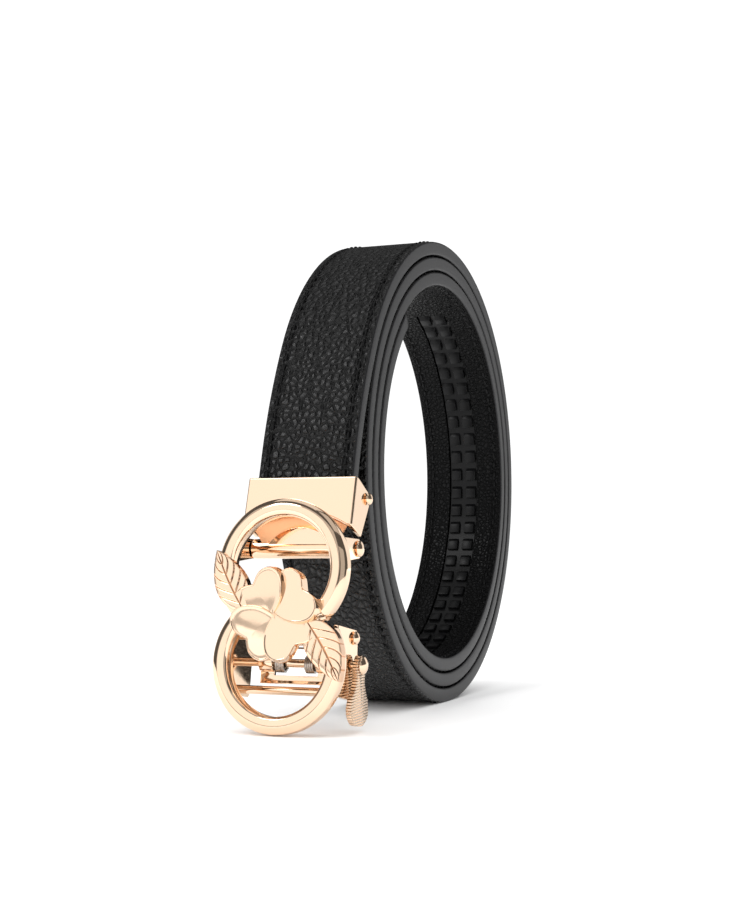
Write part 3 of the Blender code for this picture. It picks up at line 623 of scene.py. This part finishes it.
rows_sewn = []
for word, height in (("top", STITCH_RISE), ("lining", -STRAP_THICKNESS - STITCH_RISE)):
    for side, sign in (("left", -1), ("right", 1)):
        rows_sewn.append(stitch_row(f"stitches_{word}_{side}", height, sign * STITCH_ROW))
print("stitch rows", len(rows_sewn))

# %% [markdown]
# The ratchet track is a nylon strip with two teeth to a row and a slot between them. Each tooth
# is a wedge: steep on one side, where the pawl catches, and sloped on the other, where it rides
# over.

# %% Ratchet track
TOOTH_PITCH = 0.0058
TOOTH_SIZE = (0.0042, 0.0011)  # along the strap and out of it
TOOTH_SLOPE = 0.0013
TOOTH_INNER = 0.0007
TOOTH_OUTER = 0.0038
BAND_THICKNESS = 0.0006
TRACK_TOP = -STRAP_THICKNESS + CHANNEL_DEPTH - 0.0003
TRACK_LENGTH = TRACK_END - TRACK_START
TRACK_MIDDLE = (TRACK_START + TRACK_END) / 2

bpy.ops.mesh.primitive_cube_add(size=1)
track = bpy.context.object
track.name = "nylon_track"
track.data.transform(Matrix.Diagonal((TRACK_LENGTH, BAND_THICKNESS, CHANNEL_WIDTH - 0.0006, 1)))
track.data.transform(Matrix.Translation((TRACK_MIDDLE, TRACK_TOP - BAND_THICKNESS / 2, 0)))
bpy.ops.object.mode_set(mode="EDIT")
bpy.ops.mesh.select_all(action="DESELECT")
bpy.ops.mesh.select_mode(type="EDGE")
bpy.ops.object.mode_set(mode="OBJECT")
for edge in track.data.edges:
    ends = [track.data.vertices[index].co for index in edge.vertices]
    edge.select = abs(ends[0].x - ends[1].x) > TRACK_LENGTH / 2
bpy.ops.object.mode_set(mode="EDIT")
bpy.ops.mesh.subdivide(number_cuts=100)
bpy.ops.object.mode_set(mode="OBJECT")
wind(track)


def tooth_column(name, low, high):
    """One tooth between two places across the strap, sloped on one side, and its copies."""
    bpy.ops.mesh.primitive_cube_add(size=1)
    made = bpy.context.object
    made.name = name
    made.data.transform(Matrix.Diagonal((*TOOTH_SIZE, high - low, 1)))
    for vert in made.data.vertices:
        if vert.co.y < 0 and vert.co.x < 0:
            vert.co.x += TOOTH_SLOPE
    first = (TRACK_START + TOOTH_PITCH / 2, TRACK_TOP - 0.0009, (low + high) / 2)
    made.data.transform(Matrix.Translation(first))
    round_edges(made, 0.00018, angle=30)
    repeat_along(made, TOOTH_PITCH, TRACK_LENGTH)
    wind(made)
    return made


left_teeth = tooth_column("teeth_left", -TOOTH_OUTER, -TOOTH_INNER)
right_teeth = tooth_column("teeth_right", TOOTH_INNER, TOOTH_OUTER)
for made in (track, left_teeth, right_teeth):
    only(made)
    bpy.ops.object.shade_smooth_by_angle(angle=math.radians(35))
    made.data.materials.append(nylon)
    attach(made, "belt")
    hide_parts("ratchet_track")
print("track length", round(TRACK_LENGTH, 3))

# %% [markdown]
# The two rings are the face's main shape. A ring is a band section spun about its centre: a flat
# bright front, a wide bevel outside and a narrow one inside. The Spin operator turns the section.
# Each ring stops under the flower or a leaf, as cast, so the two arms that would cross are cut
# short.

# %% Rings
RING_RADIUS = 0.0158
RING_INNER = 0.0118
RING_BACK = 0.0087
RING_FRONT = 0.0122
UPPER_DROP = 0.0057
LOWER_DROP = 0.0266
RING_STEPS = 120
RING_SECTION = [  # radius and distance in front of the hinge
    (RING_INNER + 0.0002, RING_BACK),
    (RING_INNER, RING_BACK + 0.0003),
    (RING_INNER, RING_FRONT - 0.0009),
    (RING_INNER + 0.00012, RING_FRONT - 0.0006),
    (RING_INNER + 0.0005, RING_FRONT - 0.00015),
    (RING_INNER + 0.0008, RING_FRONT),
    (RING_RADIUS - 0.0017, RING_FRONT),
    (RING_RADIUS - 0.0015, RING_FRONT - 0.00003),
    (RING_RADIUS - 0.0004, RING_FRONT - 0.00068),
    (RING_RADIUS - 0.0001, RING_FRONT - 0.0010),
    (RING_RADIUS, RING_FRONT - 0.0014),
    (RING_RADIUS, RING_BACK + 0.0003),
    (RING_RADIUS - 0.0002, RING_BACK),
]


def dress(made, body, node, material=rose_gold, place=FACE_PLACE, smooth=28):
    """Puts a piece drawn round the hinge in its place, gives it finish and body, and hides the
    solid.
    """
    only(made)
    made.data.transform(place)
    bpy.ops.object.shade_smooth_by_angle(angle=math.radians(smooth))
    made.data.materials.append(material)
    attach(made, body)
    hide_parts(node)
    return made


def ring(name, drop, start, sweep):
    """A ring whose middle hangs below the hinge, from a start angle through a sweep."""
    bpy.ops.mesh.primitive_circle_add(vertices=len(RING_SECTION), fill_type="NOTHING")
    made = bpy.context.object
    made.name = name
    turn = math.radians(start)
    for vert, (radius, front) in zip(made.data.vertices, RING_SECTION):
        vert.co = (radius * math.cos(turn), -front, radius * math.sin(turn) - drop)
    bpy.ops.object.mode_set(mode="EDIT")
    bpy.ops.mesh.select_all(action="SELECT")
    bpy.ops.mesh.spin(
        steps=RING_STEPS, angle=math.radians(sweep), center=(0, 0, -drop), axis=(0, 1, 0)
    )
    bpy.ops.mesh.select_all(action="SELECT")
    bpy.ops.mesh.fill_holes(sides=0)
    bpy.ops.mesh.normals_make_consistent(inside=False)
    bpy.ops.object.mode_set(mode="OBJECT")
    return dress(made, "buckle", "face_casting")


upper_ring = ring("upper_ring", UPPER_DROP, -46, 280)
lower_ring = ring("lower_ring", LOWER_DROP, 135, 255)
print("ring vertices", len(upper_ring.data.vertices), len(lower_ring.data.vertices))

# %% [markdown]
# The flower has four heart-shaped petals laid like a pinwheel, each leading edge over the next
# petal. A petal starts as a filled circle whose points are moved to the heart's outline. It is
# then raised in steps: the wall is extruded, and the top is drawn in ring by ring, high at the
# rim, slightly dished behind it and domed in the middle, which gives the thin bright line round
# each polished petal.

# %% Petals
FLOWER_DROP = 0.01615
FLOWER_RADIUS = 0.0100
FLOWER_BACK = 0.0112
FIRST_PETAL = -52
PETAL_LEAN = math.radians(-6.5)
PETAL_MIDDLE = FLOWER_RADIUS * 0.55
HEART_HALF = [  # half a heart as shares of the flower's radius, from its point to its notch
    (0.0, -0.02), (0.34, 0.15), (0.57, 0.38), (0.68, 0.65), (0.58, 0.90), (0.31, 0.99), (0.0, 0.86),
]
HEART_POINT, HEART_NOTCH = 0, 6
PETAL_STEPS = [  # how far each extrusion rises, and the share of the petal's size it ends at
    (0.0027, 1.0), (0.00026, 0.978), (0.00002, 0.955), (-0.00016, 0.935), (-0.00002, 0.90),
    (0.00002, 0.74), (0.00004, 0.58), (0.00003, 0.40), (0.00002, 0.20), (0.00001, 0.06),
]


def facing_front(depth):
    """Stands up a piece drawn flat in X and Y, at the flower's height and this far forward."""
    return Matrix.Translation((0, -depth, -FLOWER_DROP)) @ Matrix.Rotation(math.radians(90), 4, "X")


def heart():
    """Evenly spaced points on a smooth curve through the heart, sharp at its point and notch."""
    half = [Vector((x, y, 0)) for x, y in HEART_HALF]
    line = half + [Vector((-p.x, p.y, 0)) for p in half[-2:0:-1]]
    total = len(line)
    sharp = (HEART_POINT, HEART_NOTCH)
    smooth = []
    for index in range(total):
        before, start, end, after = (line[(index + shift) % total] for shift in (-1, 0, 1, 2))
        if index in sharp:
            before = start * 2 - end
        if (index + 1) % total in sharp:
            after = end * 2 - start
        slope = end - before
        bend = 2 * before - 5 * start + 4 * end - after
        twist = 3 * start - before - 3 * end + after
        for t in (0.0, 0.2, 0.4, 0.6, 0.8):
            smooth.append((2 * start + slope * t + bend * t**2 + twist * t**3) / 2)
    return [point * FLOWER_RADIUS for point in smooth]


def petal(name, turn):
    points = heart()
    bpy.ops.mesh.primitive_circle_add(vertices=len(points), fill_type="NGON")
    made = bpy.context.object
    made.name = name
    for vert, point in zip(made.data.vertices, points):
        vert.co = point
    made.data.update()
    bpy.ops.object.mode_set(mode="EDIT")
    bpy.ops.mesh.select_all(action="SELECT")
    bpy.ops.mesh.normals_make_consistent(inside=False)
    size = 1.0
    height = 0.0
    for rise, share in PETAL_STEPS:
        bpy.ops.mesh.extrude_region_move(TRANSFORM_OT_translate={"value": (0, 0, rise)})
        height += rise
        if share != size:
            bpy.ops.transform.resize(
                value=(share / size, share / size, 1), center_override=(0, PETAL_MIDDLE, height)
            )
            size = share
    bpy.ops.object.mode_set(mode="OBJECT")
    made.data.transform(Matrix.Rotation(turn, 4, "Z") @ Matrix.Rotation(PETAL_LEAN, 4, "Y"))
    made.data.transform(facing_front(FLOWER_BACK))
    return dress(made, "buckle", "face_casting", smooth=50)


turns = [math.radians(FIRST_PETAL + 90 * number) for number in range(4)]
petals = [petal(f"petal_{number}", turn) for number, turn in enumerate(turns, start=1)]
print("petals", len(petals), "faces each", len(petals[0].data.polygons))

# %% [markdown]
# A leaf is a grid drawn into a leaf's outline, so that its lines run from root to tip. Its
# surface is one formula: crowned across, with a ridge for the midrib and engraved side veins that
# curve towards the tip. A solid wall below it meets the ring.

# %% Leaves
VEIN_ROOTS = (0.14, 0.30, 0.46, 0.62, 0.77)
VEIN_DEPTH = 0.00015
LEAF_RISE = 0.0015


def leaf_half(share):
    """Half the leaf's width at this share of its length, as a share of its full width."""
    if not 0 < share < 1:
        return 0.0
    return 0.5 * (math.sin(math.pi * share**0.85) ** 0.8) * (1 - 0.12 * share)


def engraving_at(along, across):
    """How deep the engraving is, from 0 to 1, at a share of the length and of the half width."""
    off = abs(across)
    midrib = math.exp(-((across * 17) ** 2))
    swept = along - 0.20 * off - 0.06 * off**2
    veins = max(math.exp(-(((swept - root) * 85) ** 2)) for root in VEIN_ROOTS)
    rim = math.exp(-(((1 - off) * 11) ** 2))
    return max(midrib, veins * min(1.0, off * 8), 0.4 * rim)


def leaf(name, root, tip, width, bow):
    bpy.ops.mesh.primitive_grid_add(x_subdivisions=110, y_subdivisions=48, size=1)
    made = bpy.context.object
    made.name = name
    engraved = made.data.attributes.new("engraved", "FLOAT", "POINT")
    start = Vector((*root, 0))
    run = Vector((*tip, 0)) - start
    side = Vector((-run.y, run.x, 0)).normalized()
    for vert in made.data.vertices:
        along = min(1.0, max(0.0, vert.co.x + 0.5))
        across = vert.co.y * 2
        half = max(0.00002, width * leaf_half(along))
        curve = bow * math.sin(math.pi * along)
        spot = start + run * along + side * (across * half + curve)
        cut = engraving_at(along, across)
        crown = LEAF_RISE * (1 - 0.13 * across**2) - VEIN_DEPTH * cut
        vert.co = (spot.x, spot.y, RING_FRONT + crown)
        engraved.data[vert.index].value = cut
    only(made)
    bpy.ops.object.mode_set(mode="EDIT")
    bpy.ops.mesh.select_all(action="DESELECT")
    bpy.ops.mesh.select_mode(type="EDGE")
    bpy.ops.mesh.select_non_manifold(extend=False, use_boundary=True)
    bpy.ops.mesh.extrude_region_move(TRANSFORM_OT_translate={"value": (0, 0, -1.4 * LEAF_RISE)})
    bpy.ops.mesh.edge_face_add()
    bpy.ops.mesh.select_all(action="SELECT")
    bpy.ops.mesh.remove_doubles(threshold=0.000002)
    bpy.ops.mesh.normals_make_consistent(inside=False)
    bpy.ops.object.mode_set(mode="OBJECT")
    made.data.transform(facing_front(0))
    return dress(made, "buckle", "face_casting", material=engraved_gold, smooth=40)


upper_leaf = leaf("leaf_upper", (-0.0074, 0.0004), (-0.0152, 0.0142), 0.0080, 0.0004)
lower_leaf = leaf("leaf_lower", (0.0076, -0.0010), (0.0160, -0.0142), 0.0086, 0.0005)
print("leaf faces", len(upper_leaf.data.polygons), len(lower_leaf.data.polygons))

# %% [markdown]
# Behind the front are flat parts of the same casting: two ears on the hinge rod, two side walls
# that carry the ratchet's cross rods, and a round boss under the flower. A plate is a filled
# outline pushed out by its thickness. Its edges are rounded, and a Weighted Normal modifier keeps
# its wide faces looking flat beside them.

# %% Casting behind the face
EAR_INNER = 0.01255
EAR_OUTER = 0.01375
EAR_RADIUS = 0.0023
ear_turns = [math.radians(90 - 15 * step) for step in range(13)]
EAR = [(-0.0095, 0.0016)]
EAR += [(EAR_RADIUS * math.cos(turn), EAR_RADIUS * math.sin(turn)) for turn in ear_turns]
EAR += [(-0.0095, -0.0042)]
WALL = [
    (-0.0095, -0.0179), (0.0012, -0.0183), (0.0021, -0.0190), (0.0025, -0.0262),
    (0.0023, -0.0334), (0.0014, -0.0343), (-0.0095, -0.0334),
]


def plate(name, outline, low, high, node, body, place=FACE_PLACE, soft=0.0002):
    """A plate that stands across the X axis, from an outline in Y and Z."""
    bpy.ops.mesh.primitive_circle_add(vertices=len(outline), fill_type="NGON")
    made = bpy.context.object
    made.name = name
    for vert, (y, z) in zip(made.data.vertices, outline):
        vert.co = (low, y, z)
    bpy.ops.object.mode_set(mode="EDIT")
    bpy.ops.mesh.select_all(action="SELECT")
    bpy.ops.mesh.extrude_region_move(TRANSFORM_OT_translate={"value": (high - low, 0, 0)})
    bpy.ops.mesh.select_all(action="SELECT")
    bpy.ops.mesh.normals_make_consistent(inside=False)
    bpy.ops.object.mode_set(mode="OBJECT")
    round_edges(made, soft)
    dress(made, body, node, place=place, smooth=60)
    flats = made.modifiers.new("flats_stay_flat", "WEIGHTED_NORMAL")
    flats.keep_sharp = True
    return made


for side, word in ((-1, "left"), (1, "right")):
    low, high = sorted((side * EAR_INNER, side * EAR_OUTER))
    plate(f"ear_{word}", EAR, low, high, "face_casting", "buckle")
    plate(f"wall_{word}", WALL, low, high, "face_casting", "buckle")
bpy.ops.mesh.primitive_cylinder_add(vertices=64, radius=0.0074, depth=0.0036)
boss = bpy.context.object
boss.name = "flower_boss"
boss.data.transform(facing_front(0.0109))
dress(boss, "buckle", "face_casting")
print("boss faces", len(boss.data.polygons))

# %% [markdown]
# Round pieces come from one profile spun about the X axis: the cross rods with their domed rivet
# heads, and the small ridged wrap where the upper ring's arm meets the lower leaf.

# %% Rods and wrap
ROD_LEFT = -0.01375
RIVET_SEAT = 0.01405
STOP_DROP = 0.0202
SHAFT_DROP = 0.0262
BAR_DROP = 0.0325


def turned(name, profile, steps=40):
    """Spins a line of (x, radius) points about the X axis."""
    bpy.ops.mesh.primitive_circle_add(vertices=len(profile), fill_type="NOTHING")
    made = bpy.context.object
    made.name = name
    for vert, (x, radius) in zip(made.data.vertices, profile):
        vert.co = (x, 0, radius)
    bpy.ops.object.mode_set(mode="EDIT")
    bpy.ops.mesh.select_all(action="SELECT")
    bpy.ops.mesh.spin(steps=steps, angle=2 * math.pi, center=(0, 0, 0), axis=(1, 0, 0))
    bpy.ops.mesh.select_all(action="SELECT")
    bpy.ops.mesh.remove_doubles(threshold=0.000004)
    bpy.ops.mesh.normals_make_consistent(inside=False)
    bpy.ops.object.mode_set(mode="OBJECT")
    return made


def pin(node, body, low, high, radius, head=0.0, height=0.0, spot=(0, 0), place=FACE_PLACE):
    """A rod from low to high, with a domed head of its own radius and height if it has one."""
    profile = [(low, 0.0), (low, radius * 0.8), (low + radius * 0.2, radius)]
    if head:
        dome = [math.radians(12 * step) for step in range(8)]
        profile += [(high, radius)]
        profile += [(high + height * math.sin(a), head * math.cos(a)) for a in dome]
        profile += [(profile[-1][0] + height * 0.005, 0.0)]
    else:
        profile += [(high - radius * 0.2, radius), (high, radius * 0.8), (high, 0.0)]
    made = turned(f"{node}_dressed", profile)
    made.data.transform(Matrix.Translation((0, *spot)))
    return dress(made, body, node, place=place, smooth=35)


pin("hinge_rod", "buckle", ROD_LEFT, RIVET_SEAT, 0.0010, 0.0019, 0.0009)
pin("stop_pin", "buckle", ROD_LEFT, RIVET_SEAT, 0.0009, 0.00153, 0.0009, (0, -STOP_DROP))
pin("bottom_bar", "buckle", ROD_LEFT, -ROD_LEFT, 0.0010, spot=(0, -BAR_DROP))
pin("pawl_shaft", "release", ROD_LEFT, 0.01615, 0.0010, 0.0021, 0.0010, (0, -SHAFT_DROP))
JAW_SPOT = (0.00256, 0.0127)
pin("jaw_pin", "belt", -0.0136, 0.0139, 0.0008, 0.00144, 0.00088, JAW_SPOT, CLAMP_PLACE)

WRAP_RIDGES = 4
WRAP = [(-0.0020, 0.0), (-0.0020, 0.0011)]
for ridge in range(WRAP_RIDGES):
    x = -0.0019 + 0.00095 * ridge
    WRAP += [(x, 0.0013), (x + 0.0003, 0.0016), (x + 0.0006, 0.0016), (x + 0.0009, 0.0013)]
WRAP += [(0.0020, 0.0011), (0.0020, 0.0)]
wrap = turned("wrap", WRAP)
wrap.data.transform(Matrix.Rotation(math.radians(90 - 38), 4, "Y"))
wrap.data.transform(Matrix.Translation((0.0092, -0.0117, -FLOWER_DROP)))
dress(wrap, "buckle", "face_casting", smooth=40)
print("wrap vertices", len(wrap.data.vertices))

# %% [markdown]
# The clamp holds the strap's end. Its flat front plate has rounded edges and an arched foot. From
# the arch a rough-cast web curves back to a lower plate, which ends in the hinge's barrel. Its
# copper colour is the gold's colour taken twice, a painted reflection of the plating in itself.
# The web is a grid whose front edge follows the arch and whose back edge follows the lower plate's
# round edge.

# %% Clamp
CLAMP_FRONT = -0.0054
CLAMP_HALF = 0.0136
CLAMP_INNER = 0.0124
CLAMP_FOOT = 0.0040
ARCH_RISE = 0.0035
HINGE_LEAF_RADIUS = 0.0103
HINGE_LEAF_SPREAD = math.radians(62)
BARREL_HALF = 0.01225
BARREL_RADIUS = 0.0023
SIDE_GAP = 0.0001
WEB_COLUMNS = 28
WEB_ROWS = 8
WEB_SAG = 0.0009


def arch(x):
    """How high the front plate's foot is above the hinge."""
    return CLAMP_FOOT + ARCH_RISE * (1 - (x / CLAMP_INNER) ** 2)


def hinge_leaf_edge(turn):
    """A place on the lower plate's round edge, in X and Z."""
    return HINGE_LEAF_RADIUS * math.sin(turn), HINGE_LEAF_RADIUS * math.cos(turn) - 0.0055


def front_plate(name, outline, front, thickness, soft, place=CLAMP_PLACE):
    """A plate that faces the front, from an outline in X and Z."""
    turned_outline = [(z, x) for x, z in outline]
    back = front + thickness
    lying = Matrix.Identity(4)
    made = plate(name, turned_outline, front, back, "clamp_shell", "belt", lying, soft)
    turn = Matrix(((0, 0, 1, 0), (1, 0, 0, 0), (0, 1, 0, 0), (0, 0, 0, 1)))
    made.data.transform(place @ turn)
    return made


across = [CLAMP_INNER * (2 * step / WEB_COLUMNS - 1) for step in range(WEB_COLUMNS + 1)]
front_outline = [(-CLAMP_HALF, CLAMP_LENGTH), (-CLAMP_HALF, CLAMP_FOOT)]
front_outline += [(x, arch(x)) for x in across]
front_outline += [(CLAMP_HALF, CLAMP_FOOT), (CLAMP_HALF, CLAMP_LENGTH)]
front_plate("clamp_front", front_outline, CLAMP_FRONT, 0.0012, 0.00045)
half_disc = [hinge_leaf_edge(HINGE_LEAF_SPREAD * (step / 16 - 1)) for step in range(33)]
front_plate("hinge_plate", half_disc, -0.00215, 0.0012, 0.00015, FACE_PLACE)
SIDE = [
    (-0.0048, CLAMP_LENGTH), (-0.0034, CLAMP_LENGTH), (0.0030, 0.0144), (0.0046, 0.0133),
    (0.0044, 0.0118), (0.0014, 0.0032), (-0.0048, 0.0040),
]
SIDE_OUTER = CLAMP_HALF - SIDE_GAP
for word, low, high in (
    ("left", -SIDE_OUTER, -CLAMP_INNER),
    ("right", CLAMP_INNER, SIDE_OUTER),
):
    plate(f"clamp_side_{word}", SIDE, low, high, "clamp_shell", "belt", CLAMP_PLACE, 0.00025)
barrel = turned(
    "hinge_barrel",
    [
        (-BARREL_HALF, 0.0), (-BARREL_HALF, BARREL_RADIUS),
        (BARREL_HALF, BARREL_RADIUS), (BARREL_HALF, 0.0),
    ],
)
dress(barrel, "belt", "clamp_shell", place=CLAMP_PLACE, smooth=40)

# The web's copper colour is a painted reflection: about the gold's colour squared, as for light
# bouncing twice between plated faces.
web_painted_reflection = plating("rough_cast_web_painted_reflection", (0.92, 0.47, 0.24), 0.30, 0.42, ripple=0.4)
bpy.ops.mesh.primitive_grid_add(x_subdivisions=WEB_COLUMNS, y_subdivisions=WEB_ROWS, size=2)
web = bpy.context.object
web.name = "clamp_web"
for vert in web.data.vertices:
    share = (vert.co.y + 1) / 2
    x = CLAMP_INNER * vert.co.x
    low_x, low_z = hinge_leaf_edge(HINGE_LEAF_SPREAD * vert.co.x)
    top = arch(x) + 0.0003
    sag = WEB_SAG * math.sin(math.pi * share)
    vert.co = (x + (low_x - x) * share, -0.0043 + 0.0030 * share, top + (low_z - top) * share + sag)
only(web)
wall = web.modifiers.new("wall", "SOLIDIFY")
wall.thickness = 0.0005
wall.offset = -1
bpy.ops.object.modifier_apply(modifier="wall")
dress(web, "belt", "clamp_shell", material=web_painted_reflection, place=CLAMP_PLACE, smooth=60)
print("web faces", len(web.data.polygons))

# %% [markdown]
# The lever, the catch, the clamp's jaw and the spring have the right shape in the solids already.
# A solid's mesh is loose triangles, so a copy of it is merged first. Then the lever's and the
# catch's edges get a small rounding that catches the light, and the copy stands in for the solid.


# %% Lever, catch, jaw and spring
def dressed_copy(node, body, material, soft=0.0, smooth=40):
    """A merged copy of a solid, with its edges rounded by this much."""
    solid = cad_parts[node]
    made = bpy.data.objects.new(f"{node}_dressed", solid.data.copy())
    bpy.context.scene.collection.objects.link(made)
    made.data.transform(solid.matrix_world)
    made.data.materials.clear()
    only(made)
    bpy.ops.object.mode_set(mode="EDIT")
    bpy.ops.mesh.select_all(action="SELECT")
    bpy.ops.mesh.remove_doubles(threshold=0.000002)
    bpy.ops.mesh.dissolve_limited(angle_limit=math.radians(1.5))
    bpy.ops.object.mode_set(mode="OBJECT")
    if soft:
        round_edges(made, soft, angle=45)
    bpy.ops.object.shade_smooth_by_angle(angle=math.radians(smooth))
    made.data.materials.append(material)
    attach(made, body)
    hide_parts(node)
    return made


dressed_copy("release_lever", "release", ridged_gold, soft=0.00016)
dressed_copy("pawl", "release", rose_gold, soft=0.00012)
dressed_copy("clamp_jaw", "jaw", rose_gold)
spring = dressed_copy("torsion_spring", "buckle", spring_steel, smooth=60)
print("spring vertices", len(spring.data.vertices))

# %% [markdown]
# The roll has done its work and is removed.

# %% Roll removed
bpy.data.objects.remove(roll, do_unlink=True)
